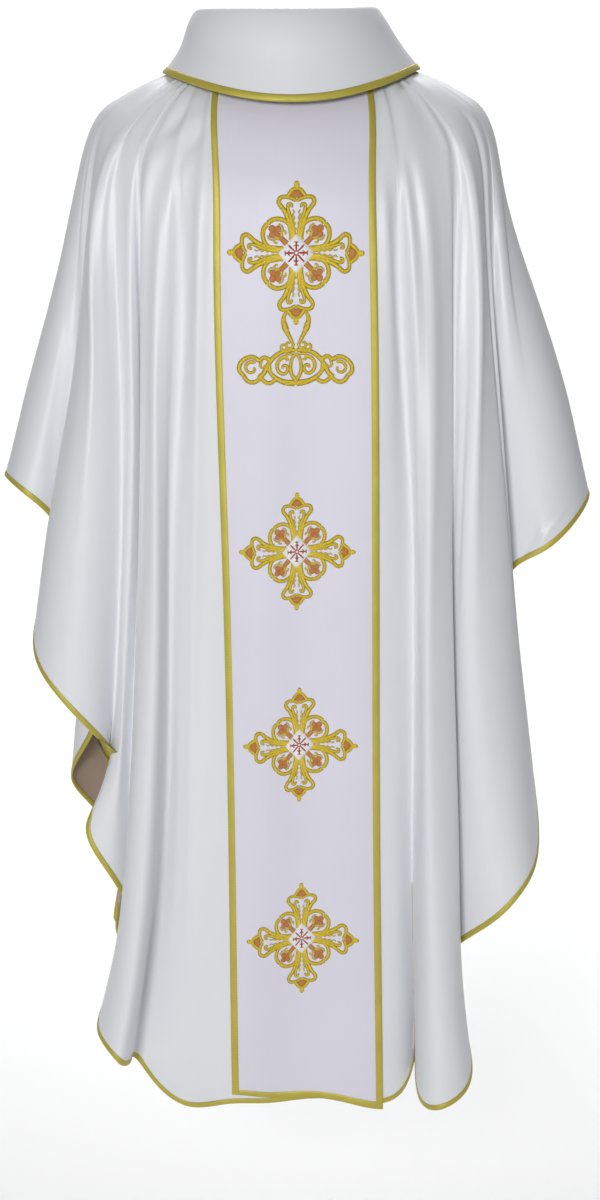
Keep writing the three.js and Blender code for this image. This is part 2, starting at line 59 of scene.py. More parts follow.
# Fold lines: name, bearing at the neck, then x and y at chest, waist, knee and hem, the height of
# the hem there, and how far the ankle swings to the side.
FOLDS = [
    ("centre front", 0, 5, -160, 10, -164, 15, -167, 20, -168, -1325, 0),
    ("orphrey left half", 35, 55, -159, 60, -165, 65, -169, 70, -171, -1325, 0),
    ("orphrey left edge", 72, 105, -154, 110, -161, 115, -166, 120, -170, -1330, 0),
    ("left panel corner", 74, 118, -151, 134, -151, 140, -155, 148, -152, -1320, 0),
    ("left hollow", 75, 132, -139, 152, -137, 158, -130, 165, -118, -1290, 0),
    ("left roll inner", 76.5, 146, -141, 160, -149, 164, -161, 168, -186, -1320, 0),
    ("left roll", 78, 168, -136, 172, -167, 178, -194, 190, -214, -1320, 0),
    ("left roll outer", 80, 190, -121, 192, -154, 204, -182, 224, -204, -1305, -3),
    ("left roll edge", 81, 201, -110, 202, -139, 218, -160, 238, -168, -1280, -5),
    ("left roll flank", 81.5, 205, -104, 205, -127, 210, -136, 222, -138, -1225, 0),
    ("left fall hollow", 82, 209, -99, 207, -117, 206, -114, 205, -105, -1165, 0),
    ("left fall", 84, 226, -100, 228, -133, 238, -152, 272, -160, -1075, 0),
    ("left fall outer", 85, 240, -84, 250, -122, 275, -142, 310, -146, -1030, 0),
    ("left fall edge", 86, 248, -67, 266, -98, 298, -106, 328, -98, -985, 0),
    ("left fall flank", 86.8, 252, -55, 262, -76, 284, -76, 302, -72, -850, 0),
    ("left side hollow", 87.5, 256, -45, 262, -61, 274, -54, 267, -45, -690, 0),
    ("left side inner", 88.3, 260, -37, 272, -62, 291, -64, 298, -63, -625, 0),
    ("left side ridge", 89.2, 265, -27, 283, -56, 318, -70, 330, -74, -605, 0),
    ("left shoulder seam", 90, 268, 0, 310, -4, 370, -6, 393, 0, -540, 0),
    ("left back ridge", 94, 258, 37, 276, 60, 305, 71, 325, 74, -610, 0),
    ("left back hollow", 97, 252, 52, 263, 66, 270, 57, 270, 54, -705, 0),
    ("left back fall flank", 99.5, 246, 64, 264, 84, 282, 84, 292, 78, -850, 0),
    ("left back fall edge", 102, 240, 78, 266, 104, 293, 110, 312, 102, -985, 0),
    ("left back fall", 107, 222, 100, 236, 140, 253, 160, 262, 166, -1075, 0),
    ("left back fall hollow", 110, 204, 107, 209, 126, 213, 126, 210, 122, -1160, 0),
    ("left back roll flank", 112.5, 196, 112, 202, 137, 213, 150, 220, 152, -1225, 0),
    ("left back roll outer", 115, 188, 118, 198, 150, 216, 175, 230, 186, -1290, 0),
    ("left back roll", 120, 170, 130, 174, 168, 180, 204, 186, 218, -1330, 0),
    ("left back roll inner", 127, 148, 133, 148, 155, 146, 175, 148, 184, -1340, 0),
    ("left back valley", 135, 120, 135, 118, 142, 116, 139, 114, 136, -1320, 0),
    ("left back panel", 157, 60, 145, 60, 160, 60, 172, 62, 178, -1340, 0),
    ("centre back", 180, 0, 147, 5, 165, 10, 176, 12, 184, -1350, 0),
    ("right back panel", 203, -58, 145, -54, 157, -48, 165, -42, 170, -1345, 0),
    ("right back valley", 224, -116, 135, -110, 140, -102, 133, -96, 130, -1325, 0),
    ("right back roll inner", 232, -148, 132, -148, 154, -144, 179, -140, 190, -1330, 0),
    ("right back roll", 240, -174, 128, -180, 166, -191, 201, -200, 214, -1320, 0),
    ("right back roll outer", 246, -192, 115, -206, 148, -230, 167, -246, 172, -1240, 4),
    ("right back fall hollow", 250, -208, 104, -214, 130, -230, 134, -256, 134, -1185, 6),
    ("right back fall", 254, -222, 97, -234, 134, -242, 142, -250, 142, -1150, 6),
    ("right back fall outer", 257, -234, 86, -254, 120, -272, 122, -284, 110, -1005, 0),
    ("right back fall edge", 260, -244, 73, -268, 94, -290, 86, -307, 66, -950, 0),
    ("right back side hollow", 263, -254, 56, -268, 64, -276, 46, -270, 32, -870, 0),
    ("right back flank", 265, -260, 46, -274, 56, -288, 50, -290, 44, -715, 0),
    ("right back ridge", 267, -265, 34, -282, 50, -304, 54, -314, 58, -570, 0),
    ("right shoulder seam", 270, -272, 0, -302, -3, -353, -4, -380, 0, -515, 0),
    ("right side ridge", 271, -268, -28, -287, -46, -317, -58, -344, -62, -535, 0),
    ("right side hollow", 272, -261, -44, -275, -54, -297, -50, -312, -42, -575, 0),
    ("right cape edge", 273, -253, -66, -272, -83, -315, -94, -337, -94, -725, 0),
    ("right cape", 274, -242, -88, -250, -122, -277, -142, -295, -146, -790, 0),
    ("right cape inner", 275, -230, -95, -230, -118, -242, -128, -250, -128, -845, 0),
    ("right cape hollow", 276, -220, -92, -218, -107, -226, -104, -238, -96, -885, 0),
    ("right fall inner", 277, -212, -98, -211, -113, -223, -112, -250, -106, -925, 6),
    ("right fall", 278, -204, -105, -204, -122, -220, -123, -270, -124, -960, 16),
    ("right fall outer", 279, -197, -107, -197, -122, -217, -127, -244, -132, -1020, 5),
    ("right fall hollow", 280, -191, -107, -190, -115, -209, -112, -215, -106, -1105, 0),
    ("right roll flank", 280.5, -188, -110, -189, -122, -210, -127, -229, -132, -1170, 3),
    ("right roll edge", 281, -184, -117, -190, -133, -214, -146, -255, -160, -1225, 7),
    ("right roll outer", 282, -178, -126, -184, -150, -210, -172, -247, -186, -1240, 6),
    ("right roll", 283, -166, -134, -172, -164, -188, -188, -226, -206, -1258, 4),
    ("right roll inner", 284, -152, -136, -160, -152, -177, -148, -212, -160, -1276, 3),
    ("right hollow", 285.5, -135, -134, -152, -136, -172, -122, -209, -120, -1288, 0),
    ("right panel corner", 287, -122, -144, -138, -145, -156, -136, -178, -132, -1323, 0),
    ("right panel", 288.5, -111, -150, -118, -154, -132, -150, -136, -152, -1343, 0),
    ("orphrey right edge", 290, -96, -154, -88, -161, -80, -166, -78, -170, -1330, 0),
    ("orphrey right half", 325, -45, -159, -38, -165, -31, -169, -29, -171, -1330, 0),
]
FOLD_NAMES = [row[0] for row in FOLDS]
COUNT = len(FOLDS)
BREAK, ANKLE, HEM = 2, 6, 7
ACROSS = 16
DOWN = 24


def spline(points, closed=False, lead=None):
    """A smooth curve through points, called with their index plus a share of the way on. It may
    start in the direction of lead, as the continuation of another curve."""
    count = len(points)
    pad = 8 if closed else 0
    knots = points[(np.arange(count + 2 * pad + 1) - pad) % count] if closed else points
    n = len(knots)
    span = np.linalg.norm(np.diff(knots, axis=0), axis=1)
    slope = np.diff(knots, axis=0) / span[:, None]
    system, pull = np.eye(n), np.zeros((n, 3))
    for i in range(1, n - 1):
        system[i, i - 1:i + 2] = span[i - 1], 2 * (span[i - 1] + span[i]), span[i]
        pull[i] = 6 * (slope[i] - slope[i - 1])
    if lead is not None:
        system[0, :2] = 2 * span[0], span[0]
        pull[0] = 6 * (slope[0] - lead)
    bend = np.linalg.solve(system, pull)

    def at(places):
        places = np.asarray(places, float)
        places = (places % count if closed else places) + pad
        i = np.clip(np.floor(places).astype(int), 0, n - 2)
        b = (places - i)[..., None]
        a = 1 - b
        reach = (span[i] ** 2 / 6)[..., None]
        curved = (a ** 3 - a) * bend[i] + (b ** 3 - b) * bend[i + 1]
        return a * knots[i] + b * knots[i + 1] + reach * curved

    return at


def oval(ring, angle):
    """A point of an oval ring. The angle is 0 at the front and a quarter turn on the left."""
    half_width, front, back, left_z, right_z, front_z, back_z, shift = ring[:8]
    side, ahead = np.sin(angle), np.cos(angle)
    depth = np.where(ahead > 0, front, back)
    side_z = right_z + (left_z - right_z) * (1 + side) / 2
    end_z = np.where(ahead > 0, front_z, back_z)
    z = side_z + (end_z - side_z) * ahead ** 2
    return np.stack([shift + half_width * side, -depth * ahead, z], -1)


def fold_line(row):
    """The stations of one fold line, from the neck seam to the hem."""
    _, bearing, *drape, hem_z, sweep = row
    at = dict(zip(("chest", "waist", "knee", "hem"), zip(drape[::2], drape[1::2])))
    neck = math.radians(bearing)
    chest_x, chest_y = at["chest"]
    depth = CHEST["front"] if chest_y < 0 else CHEST["back"]
    chest = math.atan2(chest_x / CHEST["half_width"], -chest_y / depth)
    if chest < neck - math.pi:
        chest += 2 * math.pi

    def drop(share):
        return YOKE_Z + (hem_z - YOKE_Z) * share

    line = [oval(ring[1:], neck + (chest - neck) * ring[9]) for ring in YOKE]
    line += [np.array([*at[name], drop(DROP_SHARES[name])]) for name in ("chest", "waist", "knee")]
    hem = np.array([*at["hem"], hem_z])
    knee_share, ankle_share = DROP_SHARES["knee"], DROP_SHARES["ankle"]
    ankle = line[-1] + (hem - line[-1]) * (ankle_share - knee_share) / (1 - knee_share)
    yoke = spline(np.array(line[:BREAK + 1]))
    lead = yoke(BREAK) - yoke(BREAK - 0.02)
    below = np.array([*line[BREAK:], ankle + [sweep, 0, 0], hem])
    hanging = spline(below, lead=lead / np.linalg.norm(lead))
    over_yoke = stations <= BREAK
    return np.concatenate([yoke(stations[over_yoke]), hanging(stations[~over_yoke] - BREAK)])


stations = np.arange(HEM * DOWN + 1) / DOWN
at_stations = np.array([fold_line(row) for row in FOLDS])
across = np.arange(COUNT * ACROSS) / ACROSS
cloth = np.stack([spline(at_stations[:, j], True)(across) for j in range(len(stations))], 1)


def slopes(surface):
    """How a surface runs down the fold lines and across them, for a whole step of each."""
    down = np.gradient(surface, axis=1) * DOWN
    over = (np.roll(surface, -1, 0) - np.roll(surface, 1, 0)) * ACROSS / 2
    return down, over


def facing(down, over):
    """The direction in which the right side of the cloth faces."""
    normal = np.cross(down, over)
    return normal / np.linalg.norm(normal, axis=-1, keepdims=True)


def taps(share):
    """The weights of four neighbours in a smooth reading between the middle two."""
    s, s2, s3 = share, share ** 2, share ** 3
    return ((2 * s2 - s - s3) / 2, (2 - 5 * s2 + 3 * s3) / 2,
            (s + 4 * s2 - 3 * s3) / 2, (s3 - s2) / 2)


def read(field, fold, station):
    """A field of the cloth read smoothly at any fold and station."""
    fold, station = np.broadcast_arrays(np.asarray(fold, float), np.asarray(station, float))
    u, v = fold * ACROSS, np.clip(station, 0, HEM) * DOWN
    i = np.floor(u).astype(int)
    j = np.clip(np.floor(v).astype(int), 0, HEM * DOWN - 1)
    before, after = 2 * field[:, :1] - field[:, 1:2], 2 * field[:, -1:] - field[:, -2:-1]
    ended = np.concatenate([before, field, after], 1)
    total = 0
    for a, wide in enumerate(taps(u - i)):
        for b, long in enumerate(taps(v - j)):
            total = total + (wide * long)[..., None] * ended[(i + a - 1) % (COUNT * ACROSS), j + b]
    return total


# Creases that the rolls leave in the cloth: the fold each runs down, how many folds beside it the
# crease starts and ends, the stations it runs between, its height (less than 0 is a trough) and
# its width.
CREASES = [
    ("right cape", 0, 0, 2.2, 4.8, 4.5, 7),
    ("right cape edge", -0.6, -0.4, 2.2, 4.6, -5, 10),
    ("right cape inner", 0.2, 0.3, 2.4, 3.6, -2.5, 5),
    ("right fall hollow", 0, 0, 2.1, 5.0, -5, 9),
    ("right roll edge", 0.2, 0, 2.2, 5.0, 4, 6),
    ("right roll", 0, 0.2, 2.4, 4.6, 2.5, 6),
    ("right roll inner", 0.6, 0.5, 2.1, 4.4, -4, 7),
    ("right hollow", 0.3, 0, 2.6, 4.2, -2, 6),
    ("right panel", -0.2, 0, 2.1, 5.8, 4, 8),
    ("right panel", 0, -3, 1.3, 2.4, -3, 8),
    ("right panel", -1.5, -5, 1.2, 2.3, 2.5, 9),
    ("right hollow", -1, -4, 1.1, 2.2, -3, 8),
    ("left panel corner", 0, 0.2, 2.2, 3.6, 2.5, 6),
    ("left hollow", 0, 0.2, 2.4, 4.2, -3.5, 7),
    ("left roll inner", 0, 0.4, 2.1, 4.5, 4.5, 6),
    ("left roll inner", 0.6, 0.7, 2.1, 3.3, -4, 6),
    ("left roll", 0.2, 0, 2.1, 4.8, 4, 11),
    ("left roll flank", 0, 0, 2.2, 4.6, -4.5, 7),
    ("left fall hollow", 0.4, 0.2, 2.7, 3.7, 3, 7),
    ("left fall hollow", 0.7, 0.6, 3.2, 4.5, -3, 6),
    ("left fall", 0.2, 0.4, 2.1, 4.6, 4, 7),
    ("left fall edge", 0, 0.2, 1.9, 4.9, -6, 6),
    ("left side inner", 0, 0.2, 2.2, 4.8, 3.5, 13),
    ("left shoulder seam", -1.2, -1.8, 5.9, 6.9, -5, 7),
    ("left shoulder seam", -0.7, -1.2, 6.2, 6.9, 3, 6),
    ("right side ridge", 0.3, 0.6, 4.2, 6.2, -2.5, 9),
    ("left back roll", 0, 0, 2.2, 4.8, 3.5, 9),
    ("left back roll flank", 0, 0.2, 2.3, 4.6, -4, 8),
    ("left back fall", 0, 0.2, 2.2, 4.4, 3.5, 8),
    ("left back valley", 0, 0, 2.1, 5.2, -4, 9),
    ("left back panel", 0, 0.2, 2.4, 5.4, 3, 14),
    ("right back panel", 0.1, 0, 2.3, 5.0, 3, 12),
    ("right back valley", 0, 0, 2.1, 5.2, -4, 9),
    ("right back roll", 0.2, 0, 2.2, 4.6, 4, 9),
    ("right back fall hollow", 0, -0.2, 2.2, 4.8, -4.5, 8),
    ("right back fall outer", 0, 0, 2.4, 4.4, 3, 8),
    ("centre back", 0.2, -0.2, 1.2, 3.4, -2, 12),
]

# A faint unevenness all over the cloth, and the groove that each shoulder seam pulls into it.
UNEVEN = 0.3
SEAM_GROOVE = {"depth": 0.9, "width": 3.5}
chance = np.random.default_rng(11)
fold_of, station_of = across[:, None] / COUNT * 2 * math.pi, stations[None] / HEM * math.pi
relief = np.zeros(cloth.shape[:2])
for round_it, down_it in zip(chance.integers(9, 34, 16), chance.uniform(0.5, 3.5, 16)):
    relief += UNEVEN * np.sin(round_it * fold_of + down_it * station_of + chance.uniform(0, 6))
right_side = facing(*slopes(cloth))
widths = np.linalg.norm(slopes(cloth)[1], axis=-1)


def beside(fold):
    """How far each place of the cloth lies across it from a fold, which may differ by station."""
    return ((across[:, None] - fold + COUNT / 2) % COUNT - COUNT / 2) * widths


for name, start_beside, end_beside, first, last, height, width in CREASES:
    share = (stations - first) / (last - first)
    fold = FOLD_NAMES.index(name) + start_beside + (end_beside - start_beside) * share
    fade = np.sin(np.pi * np.clip(share, 0, 1)) ** 0.8
    relief += height * fade * np.exp(-(beside(fold) / width) ** 2)

LEFT_SEAM = FOLD_NAMES.index("left shoulder seam")
RIGHT_SEAM = FOLD_NAMES.index("right shoulder seam")
for seam in (LEFT_SEAM, RIGHT_SEAM):
    relief -= SEAM_GROOVE["depth"] * np.exp(-(beside(seam) / SEAM_GROOVE["width"]) ** 2)
cloth = cloth + right_side * relief[..., None]
down_cloth, over_cloth = slopes(cloth)
right_side = facing(down_cloth, over_cloth)


def on_cloth(fold, station, out=0):
    """A point of the cloth, moved out from its right side."""
    out = np.broadcast_to(out, np.broadcast(fold, station).shape)
    normal = read(right_side, fold, station)
    normal /= np.linalg.norm(normal, axis=-1, keepdims=True)
    return read(cloth, fold, station) + normal * out[..., None]


HEM_STEPS = 7


def above_hem(fold, distance):
    """The place that lies a distance up from the hem, square to it, reached in short steps."""
    fold, station = np.array(fold, float), np.full(np.shape(fold), float(HEM))
    heading = None
    for _ in range(HEM_STEPS):
        down, over = read(down_cloth, fold, station), read(over_cloth, fold, station)
        along = (down * over).sum(-1)
        wide, long = (over * over).sum(-1), (down * down).sum(-1)
        if heading is None:
            heading = over * (along / wide)[..., None] - down
        on_over, on_down = (heading * over).sum(-1), (heading * down).sum(-1)
        skew = wide * long - along ** 2
        by_fold = (on_over * long - on_down * along) / skew
        by_station = (on_down * wide - on_over * along) / skew
        heading = over * by_fold[..., None] + down * by_station[..., None]
        step = distance / HEM_STEPS / np.linalg.norm(heading, axis=-1)
        fold, station = fold + by_fold * step, station + by_station * step
    return fold, station


def grid_uv(points):
    """The flat cut of a grid of cloth, in metres: across it and down it."""
    over = np.linalg.norm(np.diff(points, axis=0), axis=-1).max(1)
    down = np.linalg.norm(np.diff(points, axis=1), axis=-1)
    u = np.concatenate([[0], np.cumsum(over)])[:, None] + 0 * points[..., 0]
    v = np.concatenate([np.zeros((len(points), 1)), np.cumsum(down, 1)], 1)
    return np.stack([u, -v], -1) / 1000


def sew(name, outer, inner, materials, ring=False):
    """A closed thin piece from the points of its right side and of its wrong side."""
    columns, rows = outer.shape[:2]
    ids = np.arange(columns * rows).reshape(columns, rows)
    if ring:
        ids = np.concatenate([ids, ids[:1]])
    under = ids + columns * rows
    a, b, c, d = ids[:-1, :-1], ids[:-1, 1:], ids[1:, 1:], ids[1:, :-1]
    quads = np.stack([a, b, c, d], -1).reshape(-1, 4)
    faces = [quads, quads[:, ::-1] + columns * rows]
    rims = [(ids[1:, 0], ids[:-1, 0]), (ids[:-1, -1], ids[1:, -1])]
    if not ring:
        rims += [(ids[0, :-1], ids[0, 1:]), (ids[-1, 1:], ids[-1, :-1])]
    for start, end in rims:
        faces.append(np.stack([end, start, start + columns * rows, end + columns * rows], -1))
    sides = [len(faces[0]), sum(map(len, faces[1:]))]
    mesh = bpy.data.meshes.new(name)
    points = np.concatenate([outer.reshape(-1, 3), inner.reshape(-1, 3)]) / 1000
    mesh.from_pydata(points, [], np.concatenate(faces).tolist())
    mesh.polygons.foreach_set("material_index", np.repeat([0, len(materials) - 1], sides))
    mesh.shade_smooth()
    cut = np.tile(grid_uv(outer).reshape(-1, 2), (2, 1))
    corners = np.zeros(len(mesh.loops), int)
    mesh.loops.foreach_get("vertex_index", corners)
    mesh.uv_layers.new(name="cut").uv.foreach_set("vector", cut[corners].ravel())
    rim = np.zeros((columns, rows), bool)
    rim[:, [0, -1]] = True
    if not ring:
        rim[[0, -1]] = True
    rim = np.tile(rim.ravel(), 2)
    ends = np.zeros(len(mesh.edges) * 2, int)
    mesh.edges.foreach_get("vertices", ends)
    ends = ends.reshape(-1, 2)
    same_side = (ends[:, 0] < columns * rows) == (ends[:, 1] < columns * rows)
    sharp = rim[ends[:, 0]] & rim[ends[:, 1]] & same_side
    mesh.attributes.new("sharp_edge", "BOOLEAN", "EDGE").data.foreach_set("value", sharp)
    for material in materials:
        mesh.materials.append(material)
    piece = bpy.data.objects.new(name, mesh)
    bpy.context.scene.collection.objects.link(piece)
    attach(piece, "root")
    return piece


class Wire:
    """A socket of a material. Arithmetic on it adds the material's Math nodes."""

    def __init__(self, tree, socket=None):
        self.tree, self.socket = tree, socket

    def add(self, kind, settings=(), values=(), out=0):
        """Adds a node with its settings, then its socket values or links. Gives one output."""
        node = self.tree.nodes.new(kind)
        for key, value in dict(settings).items():
            if key == "stops":
                ramp = node.color_ramp.elements
                for place, colour in value[len(ramp):]:
                    ramp.new(place)
                for stop, (place, colour) in zip(ramp, value):
                    stop.position, stop.color = place, (*colour, 1)
            else:
                setattr(node, key, value)
        for key, value in dict(values).items():
            if isinstance(value, Wire):
                self.tree.links.new(value.socket, node.inputs[key])
            elif isinstance(value, tuple) and len(node.inputs[key].default_value) == len(value) + 1:
                node.inputs[key].default_value = (*value, 1)
            else:
                node.inputs[key].default_value = value
        return Wire(self.tree, node.outputs[out] if node.outputs else None)

    def math(self, operation, *values):
        return self.add("ShaderNodeMath", {"operation": operation}, enumerate(values))

    def mix(self, first, second):
        """A colour between two, with this as the share of the second."""
        return self.add("ShaderNodeMix", {"data_type": "RGBA"}, {0: self, 6: first, 7: second}, 2)

    def __add__(self, other):
        return self.math("ADD", self, other)

    def __mul__(self, other):
        return self.math("MULTIPLY", self, other)

    def __sub__(self, other):
        return self.math("SUBTRACT", self, other)

    def __rsub__(self, other):
        return self.math("SUBTRACT", other, self)

    __radd__, __rmul__ = __add__, __mul__


def fabric(name):
    """A new material, as a wire to add its nodes with."""
    material = bpy.data.materials.new(name)
    material.use_nodes = True
    material.node_tree.nodes.clear()
    return material, Wire(material.node_tree)


def close(wire, values):
    """Ends a material in its shader and output."""
    shader = wire.add("ShaderNodeBsdfPrincipled", {}, values)
    wire.add("ShaderNodeOutputMaterial", {}, {"Surface": shader})


def bump(height, strength, distance):
    return height.add("ShaderNodeBump", {}, {"Height": height, "Strength": strength, "Distance": distance})


def rgb(red, green, blue):
    """A colour by its sRGB values, as a shader wants it."""
    shares = [value / 255 for value in (red, green, blue)]
    return tuple(c / 12.92 if c < 0.0404 else ((c + 0.055) / 1.055) ** 2.4 for c in shares)


def satin(name, colour, shade, dullness):
    """Satin weave: long smooth floats down the cloth, so fine streaks and a soft sheen."""
    material, wire = fabric(name)
    cut = wire.add("ShaderNodeUVMap", {"uv_map": "cut"})
    place = wire.add("ShaderNodeTexCoord", {}, out=3)
    clouds = wire.add("ShaderNodeTexNoise", {}, {"Vector": place, "Scale": 7, "Detail": 3})
    stretched = wire.add("ShaderNodeMapping", {}, {"Vector": cut, "Scale": (900.0, 14.0, 1.0)})
    streaks = wire.add("ShaderNodeTexNoise", {}, {"Vector": stretched, "Scale": 1, "Detail": 2})
    threads = wire.add("ShaderNodeTexWave", {"bands_direction": "X"},
                       {"Vector": cut, "Scale": 640, "Distortion": 0.4})
    picks = wire.add("ShaderNodeTexWave", {"bands_direction": "Y"},
                     {"Vector": cut, "Scale": 260, "Distortion": 0.8})
    slubs = wire.add("ShaderNodeTexNoise", {}, {"Vector": cut, "Scale": 90, "Detail": 3})
    tint = clouds * 0.6 + streaks * 0.4
    height = threads * 0.25 + picks * 0.2 + streaks * 0.35 + slubs * 0.5
    close(wire, {
        "Base Color": tint.mix(shade, colour),
        "Roughness": dullness + 0.08 * clouds + 0.06 * streaks,
        "Sheen Weight": 0.12, "Sheen Roughness": 0.45, "Specular IOR Level": 0.5,
        "Normal": bump(height, 0.35, 0.0002),
    })
    return material


def lining_in_painted_shade():
    """Plain lining, seen only inside the hem. Its warm beige is darkened with painted shade, the shade that
    falls inside the hem.
    """
    material, wire = fabric("lining_in_painted_shade")
    cut = wire.add("ShaderNodeUVMap", {"uv_map": "cut"})
    weave = wire.add("ShaderNodeTexWave", {}, {"Vector": cut, "Scale": 300, "Distortion": 1})
    clouds = wire.add("ShaderNodeTexNoise", {}, {"Vector": cut, "Scale": 20, "Detail": 4})
    close(wire, {
        # Painted shade: both colours are a warm beige darkened to the shade inside the hem, mottled at
        # random.
        "Base Color": clouds.mix(rgb(178, 159, 140), rgb(194, 177, 158)),
        "Roughness": 0.6 + 0.1 * clouds, "Normal": bump(weave + clouds, 0.3, 0.0002),
    })
    return material


white_satin = satin("white_satin", rgb(238, 239, 242), rgb(229, 231, 235), 0.28)
# The wrong side of the panels is a lining with painted shade.
inside_in_painted_shade = lining_in_painted_shade()

CLOTH = 1.5
SEAM_GAP = 0.3
HEM_BINDING_WIDTH = 7
PANELS = {"front": (RIGHT_SEAM - COUNT, LEFT_SEAM), "back": (LEFT_SEAM, RIGHT_SEAM)}
PANEL_COLUMNS = 300
TURN_WEIGHT = 14  # how many millimetres of width a turn of one radian counts as


def panel_folds(first, last, columns):
    """Places across a panel, closer where its cloth is wide or turns."""
    taken = np.arange(first * ACROSS, last * ACROSS + 1)
    below = slice(3 * DOWN, None, DOWN)
    ring, normal = cloth[taken % len(cloth), below], right_side[taken % len(cloth), below]
    wide = np.linalg.norm(np.diff(ring, axis=0), axis=-1).max(1)
    turn = np.arccos(np.clip((normal[1:] * normal[:-1]).sum(-1), -1, 1)).max(1)
    weight = np.concatenate([[0], np.cumsum(wide + TURN_WEIGHT * turn)])
    return np.interp(np.linspace(0, weight[-1], columns), weight, taken / ACROSS)


def within_seams(folds, station):
    """Folds with the first and last kept half a gap short of the shoulder seams."""
    folds = np.array(np.broadcast_to(folds, np.broadcast(folds, station).shape))
    for end, inward in ((0, 1), (-1, -1)):
        at_end = np.broadcast_to(station, folds.shape)[end]
        wide = np.linalg.norm(read(over_cloth, folds[end], at_end), axis=-1)
        folds[end] += inward * SEAM_GAP / 2 / wide
    return folds


for name, (first, last) in PANELS.items():
    lines = panel_folds(first, last, PANEL_COLUMNS)
    low_fold, low_station = above_hem(lines, HEM_BINDING_WIDTH - 2)
    low_fold[[0, -1]] = lines[[0, -1]]
    rows = [np.linspace(0, 3, 38)[:-1], np.linspace(3, ANKLE, 66)[:-1], np.linspace(ANKLE, HEM, 28)]
    rows = np.concatenate(rows)
    below = np.clip(rows - ANKLE, 0, 1)[None]
    folds = lines[:, None] + (low_fold - lines)[:, None] * below
    places = np.minimum(rows, ANKLE)[None] + (low_station - ANKLE)[:, None] * below
    folds = within_seams(folds, places)
    sew(name + "_panel_satin", on_cloth(folds, places), on_cloth(folds, places, -CLOTH),
                       [white_satin, inside_in_painted_shade])
    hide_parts(name + "_panel")

# ---------------------------------------------------------------------------------------------
# Hem bindings. Bias strips of pale gold satin folded over the raw hem and stitched through, 7 mm
# deep on both sides. They follow the hem, so each is a flat tube round its edge.
BINDING = [(7, 0.1), (6.2, 0.55), (4, 0.75), (1.6, 0.7), (0.2, 0.3), (-0.4, -0.75), (0.2, -1.8),
           (1.6, -2.2), (4, -2.25), (6.2, -2.05), (7, -1.6), (3.5, -0.75)]


def tube(name, sections, materials, ring=False):
    """A closed tube through sections of points, with its ends closed or joined in a ring."""
    columns, size = sections.shape[:2]
    ids = np.arange(columns * size).reshape(columns, size)
    a, b = (ids, np.roll(ids, -1, 0)) if ring else (ids[:-1], ids[1:])
    faces = np.stack([a, np.roll(a, -1, 1), np.roll(b, -1, 1), b], -1).reshape(-1, 4).tolist()
    if not ring:
        faces += [ids[0, ::-1].tolist(), ids[-1].tolist()]
    mesh = bpy.data.meshes.new(name)
    mesh.from_pydata(sections.reshape(-1, 3) / 1000, [], faces)
    mesh.shade_smooth()
    along = np.concatenate([[0], np.cumsum(np.linalg.norm(np.diff(sections[:, 0], axis=0), axis=-1))])
    around = np.arange(size) * 2.0
    cut = np.stack(np.broadcast_arrays(around[None], along[:, None]), -1).reshape(-1, 2) / 1000
    corners = np.zeros(len(mesh.loops), int)
    mesh.loops.foreach_get("vertex_index", corners)
    mesh.uv_layers.new(name="cut").uv.foreach_set("vector", cut[corners].ravel())
    for material in materials:
        mesh.materials.append(material)
    piece = bpy.data.objects.new(name, mesh)
    bpy.context.scene.collection.objects.link(piece)
    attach(piece, "root")
    return piece


def gold_ribbon(name, pale, deep):
    """Metallic ribbon: a close diagonal weave of gold threads that glints unevenly."""
    material, wire = fabric(name)
    cut = wire.add("ShaderNodeUVMap", {"uv_map": "cut"})
    turned = wire.add("ShaderNodeMapping", {}, {"Vector": cut, "Rotation": (0.0, 0.0, 0.8)})
    twill = wire.add("ShaderNodeTexWave", {},
                     {"Vector": turned, "Scale": 210, "Distortion": 0.6, "Detail": 1.0})
    threads = wire.add("ShaderNodeTexNoise", {}, {"Vector": cut, "Scale": 700, "Detail": 2.0})
    clouds = wire.add("ShaderNodeTexNoise", {}, {"Vector": cut, "Scale": 24, "Detail": 3.0})
    light = clouds * 0.5 + twill * 0.3 + threads * 0.2
    close(wire, {
        "Base Color": light.mix(deep, pale), "Metallic": 0.25, "Roughness": 0.38 + 0.18 * threads,
        "Sheen Weight": 0.1, "Normal": bump(twill * 0.6 + threads * 0.4, 0.5, 0.0003),
    })
    return material


gold = gold_ribbon("gold_ribbon", rgb(216, 204, 92), rgb(168, 152, 46))
for name, (first, last) in PANELS.items():
    lines = panel_folds(first, last, PANEL_COLUMNS * 2)
    sections = []
    for distance, proud in BINDING:
        folds, places = above_hem(lines, max(distance, 0))
        folds[[0, -1]] = lines[[0, -1]]
        ring = on_cloth(within_seams(folds, places), places, proud)
        if distance < 0:
            inward = on_cloth(*above_hem(lines, 1.0)) - on_cloth(*above_hem(lines, 0.0))
            ring += distance * inward / np.linalg.norm(inward, axis=-1, keepdims=True)
        sections.append(ring)
    binding = tube(name + "_hem_ribbon", np.stack(sections, 1), [gold])
    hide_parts(name + "_hem_binding")

# ---------------------------------------------------------------------------------------------
# Orphrey. A band of heavier, faintly lavender satin laid down the middle of the front, 19 to
# 20 cm wide. Its foot hangs free by itself, a little off the hem line.
ORPHREY_REST = 1.2
ORPHREY_CLOTH = 1.2
BRAID_WIDTH = 9
BRAID_THICK = 1.0
FOOT_RIGHT, FOOT_LEFT = 14, -7
BAND_RIGHT = FOLD_NAMES.index("orphrey right edge") - COUNT
BAND_LEFT = FOLD_NAMES.index("orphrey left edge")


